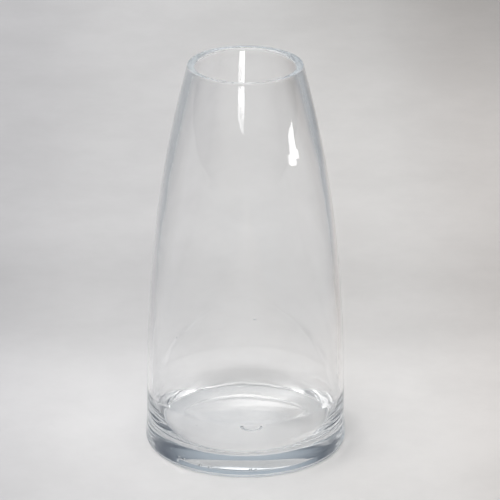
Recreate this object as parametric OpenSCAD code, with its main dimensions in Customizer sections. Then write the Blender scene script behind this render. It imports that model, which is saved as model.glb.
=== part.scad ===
// Flower vase of clear blown glass: a tall wall that leans in towards a narrow mouth,
// on a heavy flat base. The vase is one continuous piece of glass. It is drawn here as
// its four zones, which meet face to face on level planes and don't overlap.
// Millimetres, +Z up, origin at the centre of the circle that the vase stands on.

/* [Overall size] */
// Height from the standing face to the top of the rim
vase_h = 300; // [240:1:360]
// Outer diameter of the wall where it leaves the base
body_d = 150; // [130:1:170]
// Outer diameter of the mouth, where the rim starts to round over
mouth_d = 85; // [70:1:110]
// How late the wall leans in: higher keeps it upright for longer
lean_power = 2.35; // [1.8:0.05:3.2]

/* [Glass thickness] */
// Wall thickness where the wall leaves the base
wall_low_t = 4; // [3:0.1:5]
// Wall thickness just below the rim
wall_top_t = 6; // [5.2:0.1:7]
// Thickness of the floor at the edge of the hollow underside
floor_t = 14.5; // [11:0.5:18]

/* [Base] */
// How far the foot stands out past the wall above it, all round
foot_flare = 1; // [0:0.25:3]
// Radius that rounds the outer bottom edge of the foot
foot_round = 4; // [2:0.5:6]
// How far the glass swells inwards on its way down the wall to the floor
swell_w = 8.5; // [4:0.5:10]
// Height above the floor at which that swelling starts
swell_h = 30; // [16:1:40]
// Width of the flat ring that the vase stands on
ring_w = 16; // [10:0.5:24]
// Depth of the hollow underside at its centre, inside that ring
hollow_depth = 1.8; // [1.6:0.1:2.5]
// Diameter of the low round button of glass left where the punty was cracked off
scar_d = 18; // [12:0.5:22]
// How far that button stands proud of the hollow's deepest point
scar_h = 1.4; // [0.6:0.1:1.5]
// How far the button's side slopes outwards on its way up to the hollow
scar_slope = 3; // [1:0.5:4]
// Distance from the vase's axis to the middle of the button, sideways along +X
scar_side = 4.5; // [0:0.5:8]
// Distance from the vase's axis to the middle of the button, forwards along -Y
scar_front = 8.5; // [0:0.5:12]

/* [Rim] */
// Height of the fire-polished rim, from the wall to its top
rim_h = 6; // [4:0.5:8]
// Radius that rounds the outer edge of the rim's level top
rim_round_out = 0.8; // [0.3:0.1:1]
// Radius that rounds the inner edge of the rim's level top
rim_round_in = 2.2; // [0.8:0.1:2.2]

/* [Smoothness] */
// Straight steps that each stretch of the leaning wall is drawn with
wall_steps = 18; // [10:1:28]
// Facets round the vase in the preview mesh
facets = 180; // [96:4:240]

/* [Hidden] */
$fn = facets;
clear_glass = [0.86, 0.91, 0.94, 0.45];
edge_glass = [0.74, 0.82, 0.88, 0.6];

body_r = body_d / 2;
mouth_r = mouth_d / 2;
foot_r = body_r + foot_flare;
hollow_r = foot_r - foot_round - ring_w;
scar_r = scar_d / 2;

// The base zone ends a little above its floor, and the foot's slight flare fades out
// over the upper part of that height.
wall_start = 7;
base_h = floor_t + wall_start;
flare_start_z = foot_round + 2;
swell_top_z = floor_t + swell_h;
floor_r = body_r - wall_low_t - swell_w;
rim_z = vase_h - rim_h;
shoulder_z = base_h + (rim_z - base_h) / 2;
round_steps = 8;
flare_steps = 6;

// The wall's lean from upright at the rim. Each rounding of the lip starts where it
// touches the wall's face and ends on the level top.
lean_angle = atan((body_r - mouth_r) * lean_power / (vase_h - base_h));
lip_out_z = vase_h - rim_round_out * (1 - sin(lean_angle));
lip_in_z = vase_h - rim_round_in * (1 + sin(lean_angle));
lip_steps = 8;

// How far the hollow's cutter reaches below the standing face, and how far the scar's
// button reaches up into the solid glass
below = 1;
embed = 1;
dish_steps = 12;

// Share of the leaning wall's height at z, 0 at the base and 1 at the top of the rim
function rise(z) = (z - base_h) / (vase_h - base_h);

// How far the inner face has swelled inwards at height z, along a quarter of an ellipse
function swell(z) =
    let (down = min(1, max(0, swell_top_z - z) / swell_h))
    swell_w * (1 - sqrt(1 - down * down));

// Outer radius of the wall at height z
function outer_r(z) = body_r - (body_r - mouth_r) * pow(rise(z), lean_power);

// Wall thickness at height z, measured level
function wall_t(z) = wall_low_t + (wall_top_t - wall_low_t) * rise(z) + swell(z);

// Inner radius of the wall at height z
function inner_r(z) = outer_r(z) - wall_t(z);

// Height number i of the wall_steps + 1 heights from low to high
function step_z(low, high, i) = low + (high - low) * i / wall_steps;

// Points on the arc of radius r about [x, z], from angle a to angle b
function arc(x, z, r, a, b, steps) = [
    for (i = [0 : steps]) [
        x + r * cos(a + (b - a) * i / steps),
        z + r * sin(a + (b - a) * i / steps)
    ]
];

// A smooth 0-to-1 ease, with no slope at either end
function ease(s) = s * s * (3 - 2 * s);

// The foot's side: it eases in from the foot's radius to the wall's
function flare() = [
    for (i = [1 : flare_steps])
        let (s = i / flare_steps)
        [foot_r - foot_flare * ease(s), flare_start_z + (base_h - flare_start_z) * s]
];

// A stretch of wall between two heights, turned round the axis
module wall_band(low, high) {
    outside = [for (i = [0 : wall_steps]) let (z = step_z(low, high, i)) [outer_r(z), z]];
    inside = [for (i = [0 : wall_steps]) let (z = step_z(high, low, i)) [inner_r(z), z]];
    rotate_extrude() polygon(concat(outside, inside));
}

// Cutter for the hollow underside: a cap of a big sphere, with its edge at the inside of
// the standing ring
module hollow() {
    ball_r = (hollow_r * hollow_r + hollow_depth * hollow_depth) / (2 * hollow_depth);
    half_angle = asin(hollow_r / ball_r);
    cap = arc(0, hollow_depth - ball_r, ball_r, 90 - half_angle, 90, dish_steps);
    rotate_extrude() polygon(concat([[0, -below], [hollow_r, -below]], cap));
}

// The punty scar's button, with a sloping side
module scar() {
    low_z = hollow_depth - scar_h;
    top_z = hollow_depth + embed;
    translate([scar_side, -scar_front, 0]) rotate_extrude() polygon([
        [0, low_z], [scar_r - scar_slope, low_z], [scar_r, hollow_depth],
        [scar_r, top_z], [0, top_z]
    ]);
}

// The lowest part of the swelling inside, from the top of the base zone to the floor
function corner_inside() =
    let (first = asin((swell_top_z - base_h) / swell_h))
    [
        for (i = [0 : round_steps])
            let (a = first + (90 - first) * i / round_steps)
            [floor_r + swell_w * cos(a), swell_top_z - swell_h * sin(a)]
    ];

// Thick flat bottom with its rounded foot, swelled inner corner, hollow underside and scar
module base() {
    corner = arc(foot_r - foot_round, foot_round, foot_round, -90, 0, round_steps);
    outline = concat(
        [[0, 0]], corner, [[foot_r, flare_start_z]], flare(), corner_inside(), [[0, floor_t]]
    );
    color(edge_glass) {
        difference() {
            rotate_extrude() polygon(outline);
            hollow();
        }
        scar();
    }
}

// Lower half of the wall, nearly upright
module body_wall() {
    color(clear_glass) wall_band(base_h, shoulder_z);
}

// Upper half of the wall, which leans in towards the mouth
module shoulder_wall() {
    color(clear_glass) wall_band(shoulder_z, rim_z);
}

// Fire-polished rim: the wall's last stretch, level on top with both edges rounded
module rim() {
    outer_x = outer_r(lip_out_z) - rim_round_out * cos(lean_angle);
    inner_x = inner_r(lip_in_z) + rim_round_in * cos(lean_angle);
    outer_z = vase_h - rim_round_out;
    inner_z = vase_h - rim_round_in;
    outer_edge = arc(outer_x, outer_z, rim_round_out, lean_angle, 90, lip_steps);
    inner_edge = arc(inner_x, inner_z, rim_round_in, 90, 180 + lean_angle, lip_steps);
    color(edge_glass) rotate_extrude() polygon(concat(
        [[outer_r(rim_z), rim_z]], outer_edge, inner_edge, [[inner_r(rim_z), rim_z]]
    ));
}

base();
body_wall();
shoulder_wall();
rim();
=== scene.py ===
"""A tall clear glass flower vase, seamless from rim to base, on a pale floor with painted
light and shade.
"""

import math

import bmesh
import bpy
from mathutils import Matrix, Quaternion, Vector, noise

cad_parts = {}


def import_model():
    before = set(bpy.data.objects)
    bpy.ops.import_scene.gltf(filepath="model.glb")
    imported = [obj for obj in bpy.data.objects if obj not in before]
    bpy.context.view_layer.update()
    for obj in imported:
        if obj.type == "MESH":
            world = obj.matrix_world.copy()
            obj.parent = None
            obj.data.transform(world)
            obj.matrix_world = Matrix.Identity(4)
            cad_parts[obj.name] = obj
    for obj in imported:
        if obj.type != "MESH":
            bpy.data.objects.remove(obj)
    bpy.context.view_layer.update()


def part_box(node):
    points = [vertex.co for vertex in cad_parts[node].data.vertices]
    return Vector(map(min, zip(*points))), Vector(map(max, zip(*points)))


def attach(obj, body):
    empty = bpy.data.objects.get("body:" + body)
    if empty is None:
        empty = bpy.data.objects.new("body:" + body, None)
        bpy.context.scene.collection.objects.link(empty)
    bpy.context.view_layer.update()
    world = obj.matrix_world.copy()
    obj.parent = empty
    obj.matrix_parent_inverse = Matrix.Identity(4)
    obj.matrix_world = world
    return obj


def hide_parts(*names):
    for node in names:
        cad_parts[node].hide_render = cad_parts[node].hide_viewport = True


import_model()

MM = 0.001

# ---------------------------------------------------------------- sizes from the frame
_, base_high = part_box("base")
_, wall_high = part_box("body_wall")
shoulder_low, shoulder_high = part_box("shoulder_wall")
rim_low, rim_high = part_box("rim")

TOP_Z = rim_high.z
BASE_H = base_high.z
FOOT_R = base_high.x
BODY_R = wall_high.x

# ---------------------------------------------------------------- sizes of the glass
WALL_LOW_T = 4.0 * MM
WALL_TOP_T = 6.0 * MM
FLOOR_T = 14.5 * MM
SWELL_W = 8.5 * MM
SWELL_H = 30.0 * MM
SWELL_TOP_Z = FLOOR_T + SWELL_H
FLOOR_R = BODY_R - WALL_LOW_T - SWELL_W
FOOT_ROUND = 4.0 * MM
FOOT_SIDE = 2.0 * MM
FLARE_START_Z = FOOT_ROUND + FOOT_SIDE
RING_W = 16.0 * MM
HOLLOW_R = FOOT_R - FOOT_ROUND - RING_W
HOLLOW_DEPTH = 1.8 * MM
SCAR_R = 9.0 * MM
SCAR_H = 1.4 * MM
SCAR_SLOPE = 3.0 * MM
SCAR_X = 4.5 * MM
SCAR_Y = -8.5 * MM
RIM_ROUND_OUT = 0.8 * MM
RIM_ROUND_IN = 2.2 * MM

# How far the lip's own rings reach down from the top, outside and inside
LIP_OUT_H = 2.0 * MM
LIP_IN_H = 6.0 * MM

# ---------------------------------------------------------------- marks of the making
# Each waviness: its depth, the width of its lumps, and a seed that sets their places
OUTER_WAVE = (0.10 * MM, 30 * MM, 7.7)
INNER_WAVE = (0.22 * MM, 20 * MM, 1.3)
INNER_RIPPLE = (0.088 * MM, 9 * MM, 5.9)
FLOOR_WAVE = (0.16 * MM, 26 * MM, 3.1)
# The waves calm down over CALM_H below the top, to CALM_SHARE of their depth there
CALM_H = 25 * MM
CALM_SHARE = 0.1
# The floor's wave is on the face up to FLOOR_BAND above it and FLOOR_EDGE inside the foot
FLOOR_BAND = 0.5 * MM
FLOOR_EDGE = 8 * MM
# Points closer to the axis than this stay put, as do those below the foot's flare
NEAR_AXIS = 1 * MM
# Points within this share of the wall's thickness from the outside belong to the outside
OUTSIDE_SHARE = 0.3
# Only points below this height are on the underside
UNDERSIDE_Z = 3 * MM
# Each bubble: turn round the axis, distance from it, height, radius in mm, stretch
BUBBLES = [
    (-128, 73.6 * MM, 8.0 * MM, 0.85, 1.5),
    (-117, 73.0 * MM, 6.6 * MM, 0.95, 1.3),
    (-111, 72.8 * MM, 6.2 * MM, 0.80, 1.6),
    (-87, 73.4 * MM, 7.0 * MM, 0.90, 1.2),
    (-84, 73.2 * MM, 6.6 * MM, 0.75, 1.2),
    (-141, 68.0 * MM, 10.0 * MM, 0.40, 1.5),
    (-62, 70.0 * MM, 5.0 * MM, 0.35, 1.2),
    (-160, 40.0 * MM, 8.0 * MM, 0.60, 1.0),
    (12, 52.0 * MM, 7.0 * MM, 0.40, 1.4),
    (140, 72.6 * MM, 62.0 * MM, 0.60, 1.8),
    (84, 72.6 * MM, 66.0 * MM, 0.60, 2.2),
]

# ---------------------------------------------------------------- mesh fineness
SEGMENTS = 256
SCAR_RINGS = 60
HOLLOW_RINGS = 16
STANDING_RINGS = 5
FOOT_RINGS = 12
FLARE_RINGS = 8
WALL_RINGS = 80
LIP_OUT_RINGS = 10
LIP_TOP_RINGS = 4
LIP_IN_RINGS = 24
SWELL_RINGS = 36
FLOOR_RINGS = 24
BUBBLE_DIVISIONS = 3
# The line between the hollow and the standing ring is softened from BEFORE it, at the
# height LINE_Z, to AFTER it. The rings next to it keep these gaps from it and the foot.
LINE_BEFORE = 0.4 * MM
LINE_AFTER = 0.3 * MM
LINE_Z = 0.012 * MM
HOLLOW_GAP = 1.0 * MM
STANDING_GAP = 1.5 * MM
FOOT_GAP = 0.6 * MM


def lean_curve():
    """How the wall leans in: its power and its whole lean, from the CAD's zone sizes."""
    span = TOP_Z - BASE_H
    low_t = (shoulder_low.z - BASE_H) / span
    top_t = (rim_low.z - BASE_H) / span
    low_lean = BODY_R - shoulder_high.x
    top_lean = BODY_R - rim_high.x
    power = math.log(low_lean / top_lean) / math.log(low_t / top_t)
    return power, top_lean / top_t ** power


LEAN_POWER, LEAN = lean_curve()


def rise(z):
    """Share of the leaning wall's height at z, 0 where it leaves the base, 1 at the top."""
    return max(0.0, (z - BASE_H) / (TOP_Z - BASE_H))


def outer_r(z):
    return BODY_R - LEAN * rise(z) ** LEAN_POWER


def swell(z):
    """How far the inner face has swelled inwards at z, on a quarter of an ellipse."""
    down = min(1.0, max(0.0, SWELL_TOP_Z - z) / SWELL_H)
    return SWELL_W * (1 - math.sqrt(1 - down * down))


def wall_t(z):
    return WALL_LOW_T + (WALL_TOP_T - WALL_LOW_T) * rise(z) + swell(z)


def inner_r(z):
    return outer_r(z) - wall_t(z)


def ease(s):
    return s * s * (3 - 2 * s)


def spread(low, high, count):
    """count + 1 evenly spread numbers from low to high."""
    return [low + (high - low) * i / count for i in range(count + 1)]


def arc(r, z, radius, start, end, count):
    """Profile points on an arc about (r, z), from angle start to end in degrees."""
    angles = [math.radians(a) for a in spread(start, end, count)]
    return [(r + radius * math.cos(a), z + radius * math.sin(a)) for a in angles]


def underside_profile():
    """From the axis out to the standing ring: the hollow, as a cap of a big sphere."""
    ball = (HOLLOW_R ** 2 + HOLLOW_DEPTH ** 2) / (2 * HOLLOW_DEPTH)
    fine_r = math.hypot(SCAR_X, SCAR_Y) + SCAR_R + HOLLOW_GAP
    fine = spread(0, fine_r, SCAR_RINGS)
    coarse = spread(fine_r, HOLLOW_R - HOLLOW_GAP, HOLLOW_RINGS)
    radii = fine + coarse[1:]
    hollow = [(r, HOLLOW_DEPTH - ball + math.sqrt(ball ** 2 - r ** 2)) for r in radii]
    line = [(HOLLOW_R - LINE_BEFORE, LINE_Z), (HOLLOW_R + LINE_AFTER, 0.0)]
    ring_end = FOOT_R - FOOT_ROUND - FOOT_GAP
    ring = [(r, 0.0) for r in spread(HOLLOW_R + STANDING_GAP, ring_end, STANDING_RINGS)]
    return hollow + line + ring


def outside_profile():
    """Up the foot's rounded corner, its flare and the wall, to just below the lip."""
    corner = arc(FOOT_R - FOOT_ROUND, FOOT_ROUND, FOOT_ROUND, -90, 0, FOOT_RINGS)
    flare = [
        (FOOT_R - (FOOT_R - BODY_R) * ease(s), FLARE_START_Z + (BASE_H - FLARE_START_Z) * s)
        for s in spread(0, 1, FLARE_RINGS)
    ]
    wall = [(outer_r(z), z) for z in spread(BASE_H, TOP_Z - LIP_OUT_H, WALL_RINGS)]
    return corner + flare + wall[1:]


def lean_angle():
    """The wall's lean at the rim, in radians from upright."""
    return math.atan(LEAN * LEAN_POWER / (TOP_Z - BASE_H))


def lip_profile():
    """The lip: a small rounding outside, a strip of level top, a big rounding inside."""
    lean = lean_angle()
    out_z = TOP_Z - RIM_ROUND_OUT * (1 - math.sin(lean))
    in_z = TOP_Z - RIM_ROUND_IN * (1 + math.sin(lean))
    outer_x = outer_r(out_z) - RIM_ROUND_OUT * math.cos(lean)
    inner_x = inner_r(in_z) + RIM_ROUND_IN * math.cos(lean)
    tilt = math.degrees(lean)
    out_middle, in_middle = TOP_Z - RIM_ROUND_OUT, TOP_Z - RIM_ROUND_IN
    outer_edge = arc(outer_x, out_middle, RIM_ROUND_OUT, tilt, 90, LIP_OUT_RINGS)
    inner_edge = arc(inner_x, in_middle, RIM_ROUND_IN, 90, 180 + tilt, LIP_IN_RINGS)
    top = [(r, TOP_Z) for r in spread(outer_x, inner_x, LIP_TOP_RINGS)[1:-1]]
    return outer_edge + top + inner_edge


def inside_profile():
    """Down the inside of the wall, round its swelled corner and in across the floor."""
    wall = [(inner_r(z), z) for z in spread(TOP_Z - LIP_IN_H, SWELL_TOP_Z, WALL_RINGS)]
    turns = [math.radians(a) for a in spread(0, 90, SWELL_RINGS)]
    corner = [
        (FLOOR_R + SWELL_W * math.cos(a), SWELL_TOP_Z - SWELL_H * math.sin(a))
        for a in turns
    ]
    floor = [(r, FLOOR_T) for r in spread(FLOOR_R, 0, FLOOR_RINGS)]
    return wall + corner[1:] + floor[1:]


def new_object(name, mesh):
    piece = bpy.data.objects.new(name, mesh)
    bpy.context.scene.collection.objects.link(piece)
    return piece


def turned(bm, profile):
    """A closed skin of revolution from a profile that starts and ends on the axis."""
    turns = [2 * math.pi * i / SEGMENTS for i in range(SEGMENTS)]
    first = bm.verts.new((0, 0, profile[0][1]))
    last = bm.verts.new((0, 0, profile[-1][1]))
    rings = [
        [bm.verts.new((r * math.cos(a), r * math.sin(a), z)) for a in turns]
        for r, z in profile[1:-1]
    ]
    for i in range(SEGMENTS):
        j = (i + 1) % SEGMENTS
        bm.faces.new((first, rings[0][j], rings[0][i]))
        bm.faces.new((last, rings[-1][i], rings[-1][j]))
        for low, high in zip(rings, rings[1:]):
            bm.faces.new((low[i], low[j], high[j], high[i]))


def dent(co, wave):
    """Smooth noise from 0 to the wave's depth, with lumps twice as tall as they are wide."""
    depth, size, seed = wave
    place = Vector((co.x / size + seed, co.y / size, 0.5 * co.z / size))
    return depth * (0.5 + 0.5 * noise.noise(place))


def sway(co, wave):
    """The same noise, half of it inwards and half outwards."""
    return dent(co, wave) - wave[0] / 2


def soften(bm):
    """The faint unevenness of blown glass: smooth outside from the mould, wavier inside."""
    for vert in bm.verts:
        co = vert.co
        r = math.hypot(co.x, co.y)
        calm = CALM_SHARE + (1 - CALM_SHARE) * ease(min(1, (TOP_Z - co.z) / CALM_H))
        if co.z < FLARE_START_Z or r < NEAR_AXIS:
            continue
        if co.z < FLOOR_T + FLOOR_BAND and r < FOOT_R - FLOOR_EDGE:
            co.z += sway(Vector((co.x, co.y, 0)), FLOOR_WAVE)
        elif r > outer_r(co.z) - OUTSIDE_SHARE * wall_t(co.z):
            co.xy *= 1 - calm * dent(co, OUTER_WAVE) / r
        else:
            co.xy *= 1 + calm * (sway(co, INNER_WAVE) + sway(co, INNER_RIPPLE)) / r


def punty_scar(bm):
    """The low round button left in the hollow underside, a little off the axis."""
    for vert in bm.verts:
        away = math.hypot(vert.co.x - SCAR_X, vert.co.y - SCAR_Y)
        if vert.co.z < UNDERSIDE_Z and away < SCAR_R:
            vert.co.z -= SCAR_H * ease(min(1, (SCAR_R - away) / SCAR_SLOPE))


def bubble(bm, turn, r, z, size, stretch):
    """One small bubble in the glass at turn degrees round the axis from +X."""
    made = bmesh.ops.create_icosphere(bm, subdivisions=BUBBLE_DIVISIONS, radius=size)
    place = Matrix.Translation(
        (r * math.cos(math.radians(turn)), r * math.sin(math.radians(turn)), z)
    )
    shape = Matrix.Rotation(math.radians(turn), 4, "Z") @ Matrix.Diagonal((1, stretch, 1, 1))
    bmesh.ops.transform(bm, matrix=place @ shape, verts=made["verts"])
    faces = {face for vert in made["verts"] for face in vert.link_faces}
    bmesh.ops.recalc_face_normals(bm, faces=list(faces))
    bmesh.ops.reverse_faces(bm, faces=list(faces))


def vase_glass():
    """The whole vase as one piece of glass, with its bubbles as hollows inside it."""
    bm = bmesh.new()
    turned(bm, underside_profile() + outside_profile() + lip_profile() + inside_profile())
    soften(bm)
    punty_scar(bm)
    bmesh.ops.recalc_face_normals(bm, faces=bm.faces)
    for turn, r, z, size, stretch in BUBBLES:
        bubble(bm, turn, r, z, size * MM, stretch)
    mesh = bpy.data.meshes.new("vase_glass")
    bm.to_mesh(mesh)
    bm.free()
    mesh.polygons.foreach_set("use_smooth", [True] * len(mesh.polygons))
    return new_object("vase_glass", mesh)


def glass_material():
    """Clear soda-lime glass with a very light blue tint in its depth."""
    mat = bpy.data.materials.new("clear_glass")
    mat.use_nodes = True
    nodes, links = mat.node_tree.nodes, mat.node_tree.links
    shader = nodes["Principled BSDF"]
    shader.inputs["Base Color"].default_value = (1, 1, 1, 1)
    shader.inputs["Roughness"].default_value = 0.0
    shader.inputs["IOR"].default_value = 1.52
    shader.inputs["Transmission Weight"].default_value = 1.0
    tint = nodes.new("ShaderNodeVolumeAbsorption")
    tint.inputs["Color"].default_value = (0.55, 0.68, 0.76, 1)
    tint.inputs["Density"].default_value = 1.1
    links.new(tint.outputs["Volume"], nodes["Material Output"].inputs["Volume"])
    return mat


def ramp(tree, value, stops):
    """A smooth run of colours: stops are (place from 0 to 1, colour)."""
    node = tree.nodes.new("ShaderNodeValToRGB")
    tree.links.new(value, node.inputs["Fac"])
    points = node.color_ramp
    points.interpolation = "EASE"
    while len(points.elements) < len(stops):
        points.elements.new(0.5)
    for point, (place, colour) in zip(points.elements, stops):
        point.position = place
        point.color = (*colour, 1)
    return node.outputs["Color"]


def map_range(tree, value, low, high, kind="LINEAR"):
    node = tree.nodes.new("ShaderNodeMapRange")
    node.interpolation_type = kind
    tree.links.new(value, node.inputs["Value"])
    node.inputs["From Min"].default_value = low
    node.inputs["From Max"].default_value = high
    return node.outputs["Result"]


def mixed(tree, share, first, second):
    """Colour first where share is 0 and second where it is 1; each a socket or a colour."""
    node = tree.nodes.new("ShaderNodeMix")
    node.data_type = "RGBA"
    tree.links.new(share, node.inputs["Factor"])
    for socket, value in (("A_Color", first), ("B_Color", second)):
        target = next(i for i in node.inputs if i.identifier == socket)
        if isinstance(value, bpy.types.NodeSocket):
            tree.links.new(value, target)
        else:
            target.default_value = (*value, 1)
    return next(o for o in node.outputs if o.identifier == "Result_Color")


def times(tree, first, second):
    node = tree.nodes.new("ShaderNodeVectorMath")
    node.operation = "MULTIPLY"
    tree.links.new(first, node.inputs[0])
    tree.links.new(second, node.inputs[1])
    return node.outputs["Vector"]


def grey(value):
    return (value, value, value)


# The floor's disc: its radius, its facets, and how far it lies below the vase
FLOOR_DISC_R = 6.0
FLOOR_FACETS = 96
FLOOR_GAP = 0.1 * MM
# How far along Y and across X the floor's two runs of painted light and shade reach
ALONG_FROM, ALONG_TO = -0.2, 1.2
ACROSS_TO = 0.9
# Painted shade of the floor far to either side
SIDE_PAINTED_SHADE = (0.64, 0.67, 0.70)
# Painted shades on the floor: centre, radius where each starts to fade, radius where it
# ends, and tone. The first darkens the far right corner; the others are the vase's
# painted shadow by its foot.
PAINTED_SHADES = [
    ((0.36, 1.10, 0), 0.06, 0.51, 0.66),
    ((0.052, 0.020, 0), 0.018, 0.042, 0.78),
    ((0.0, 0.088, 0), 0.014, 0.050, 0.77),
    ((0.045, -0.015, 0), 0.020, 0.055, 0.86),
]


def painted_shade(tree, place, centre, near, far, tone):
    """A round soft-edged painted shade on the floor."""
    away = tree.nodes.new("ShaderNodeVectorMath")
    away.operation = "DISTANCE"
    tree.links.new(place, away.inputs[0])
    away.inputs[1].default_value = centre
    share = map_range(tree, away.outputs["Value"], near, far)
    return ramp(tree, share, [(0, grey(tone)), (1, grey(1.0))])


def floor_material():
    """Pale matt paper with painted light and shade, lighter round the vase than far behind
    it and to the sides.
    """
    mat = bpy.data.materials.new("pale_floor")
    mat.use_nodes = True
    tree = mat.node_tree
    shader = tree.nodes["Principled BSDF"]
    shader.inputs["Roughness"].default_value = 0.9
    shader.inputs["Specular IOR Level"].default_value = 0.1
    place = tree.nodes.new("ShaderNodeTexCoord").outputs["Object"]
    axes = tree.nodes.new("ShaderNodeSeparateXYZ")
    tree.links.new(place, axes.inputs["Vector"])
    # Painted light and shade along Y: lighter round the vase, darker far behind it
    back = map_range(tree, axes.outputs["Y"], ALONG_FROM, ALONG_TO)
    along = ramp(tree, back, [
        (0.05, grey(0.72)), (0.17, grey(0.79)), (0.22, grey(0.78)), (0.30, grey(0.655)),
        (0.36, grey(0.62)), (0.46, grey(0.675)), (0.62, grey(0.655)), (0.9, grey(0.66)),
    ])
    # Painted light falloff across X: lightest in line with the vase, darker far to either
    # side
    right = map_range(tree, axes.outputs["X"], -ACROSS_TO, ACROSS_TO)
    across = ramp(tree, right, [
        (0.24, SIDE_PAINTED_SHADE), (0.37, (0.83, 0.83, 0.85)), (0.44, (0.95, 0.95, 0.96)),
        (0.50, (1, 1, 1)), (0.56, (1, 0.99, 0.98)), (0.63, (0.90, 0.87, 0.85)),
        (0.76, SIDE_PAINTED_SHADE),
    ])
    fibres = tree.nodes.new("ShaderNodeTexNoise")
    fibres.inputs["Scale"].default_value = 9.0
    fibres.inputs["Detail"].default_value = 6.0
    fibres.inputs["Roughness"].default_value = 0.7
    tree.links.new(place, fibres.inputs["Vector"])
    mottle = ramp(tree, fibres.outputs["Fac"], [(0.3, grey(0.965)), (0.7, grey(1.03))])
    shade = times(tree, times(tree, along, across), mottle)
    # Painted shadows by the vase's foot and a painted shade in the far right corner
    for centre, near, far, tone in PAINTED_SHADES:
        shade = times(tree, shade, painted_shade(tree, place, centre, near, far, tone))
    tree.links.new(shade, shader.inputs["Base Color"])
    return mat


def floor():
    """A wide level disc that the vase stands on. It is also the whole backdrop."""
    mesh = bpy.data.meshes.new("floor")
    bm = bmesh.new()
    bmesh.ops.create_circle(bm, cap_ends=True, radius=FLOOR_DISC_R, segments=FLOOR_FACETS)
    bmesh.ops.translate(bm, verts=bm.verts, vec=(0, 0, -FLOOR_GAP))
    bm.to_mesh(mesh)
    bm.free()
    piece = new_object("floor", mesh)
    piece.data.materials.append(floor_material())


def patch(tree, toward, inner, outer):
    """1 within inner degrees of the direction toward, fading to 0 at outer degrees."""
    place = tree.nodes.new("ShaderNodeTexCoord").outputs["Generated"]
    dot = tree.nodes.new("ShaderNodeVectorMath")
    dot.operation = "DOT_PRODUCT"
    tree.links.new(place, dot.inputs[0])
    dot.inputs[1].default_value = Vector(toward).normalized()
    near, far = math.cos(math.radians(inner)), math.cos(math.radians(outer))
    return map_range(tree, dot.outputs["Value"], far, near, "SMOOTHSTEP")


# Directions from the vase to what surrounds it
FRONT = (0, -1, 0.2)
BEHIND = (0, 1, 0.15)
SOFTBOX = (-0.30, -0.20, 0.9)
FLAG = (-0.88, 0.29, 0.37)
# Small ceiling lamps that give the glass its fine bright lines
LAMPS = [(0.42, 0.55, 0.72), (-0.55, 0.40, 0.73), (0.75, -0.20, 0.63)]


def world():
    """Soft studio: dark sides, a paler front, card behind, an overhead softbox, a flag."""
    made = bpy.data.worlds.new("studio")
    bpy.context.scene.world = made
    made.use_nodes = True
    tree = made.node_tree
    room = mixed(tree, patch(tree, FRONT, 25, 65), (0.06, 0.08, 0.11), grey(0.55))
    card = mixed(tree, patch(tree, BEHIND, 10, 45), room, (0.40, 0.45, 0.50))
    lit = mixed(tree, patch(tree, SOFTBOX, 25, 62), card, (1.92, 1.88, 1.84))
    lit = mixed(tree, patch(tree, FLAG, 12, 26), lit, (0.05, 0.07, 0.10))
    for toward in LAMPS:
        lit = mixed(tree, patch(tree, toward, 1, 2.2), lit, grey(6.0))
    tree.links.new(lit, tree.nodes["Background"].inputs["Color"])


def accent(name, place, target, width, height, glow, fan, spin=0.0):
    """A small bright panel that shows only as a mirrored highlight in the glass.

    It shines only inside a cone of fan degrees about the line to its target. A narrow
    cone packs the same power into less space, so the power is cut down to match.
    """
    data = bpy.data.lights.new(name, "AREA")
    data.shape = "RECTANGLE"
    data.size, data.size_y = width, height
    data.spread = math.radians(fan)
    half = math.radians(fan / 2)
    data.energy = glow * math.pi * width * height * (1 - half / math.tan(half))
    lamp = new_object(name, data)
    lamp.location = place
    facing = Vector(target) - Vector(place)
    turn = Quaternion((0, 0, 1), math.radians(spin))
    lamp.rotation_euler = (facing.to_track_quat("-Z", "Y") @ turn).to_euler()
    lamp.visible_camera = False
    lamp.visible_diffuse = False


def accents():
    """The long thin highlight in the neck, and the short one to its right."""
    neck = (0.0375, -0.2211, 0.002)
    above = (neck[0], neck[1], 1)
    accent("neck_panel", neck, above, width=0.058, height=0.028, glow=14.0, fan=130)
    shoulder = (0.035, -0.041, 0.258)
    accent("side_panel", (1.015, -0.239, 0.226), shoulder,
           width=0.10, height=0.075, glow=12.0, fan=30, spin=4)
    accent("side_slat", (1.010, -0.239, 0.192), shoulder,
           width=0.25, height=0.022, glow=12.0, fan=30, spin=-8)


# The camera: its pitch in degrees, its distance in metres and its focal length in mm,
# and the point it aims at, beside the vase's axis and up the vase by a share of its height
CAMERA_PITCH = 22.53
CAMERA_DISTANCE = 2.617
CAMERA_LENS = 252
AIM_X = 3.4 * MM
AIM_SHARE = 0.51


def camera():
    """A long lens that looks down on the vase from in front."""
    pitch = math.radians(CAMERA_PITCH)
    aim = Vector((AIM_X, 0, AIM_SHARE * TOP_Z))
    data = bpy.data.cameras.new("camera")
    data.sensor_width = 36
    data.lens = CAMERA_LENS
    data.clip_end = 50
    cam = new_object("camera", data)
    cam.location = aim + CAMERA_DISTANCE * Vector((0, -math.cos(pitch), math.sin(pitch)))
    cam.rotation_euler = (math.pi / 2 - pitch, 0, 0)
    bpy.context.scene.camera = cam


camera()
world()
accents()
floor()
vase = vase_glass()
vase.data.materials.append(glass_material())
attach(vase, "root")
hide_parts("base", "body_wall", "shoulder_wall", "rim")

# Light crosses the thick glass many times, so it needs many bounces and sharp caustics
BOUNCES = 96
scene = bpy.context.scene
scene.view_settings.view_transform = "Standard"
scene.cycles.max_bounces = BOUNCES
scene.cycles.transmission_bounces = BOUNCES
scene.cycles.glossy_bounces = BOUNCES
scene.cycles.caustics_refractive = True
scene.cycles.caustics_reflective = True
scene.cycles.blur_glossy = 0.0
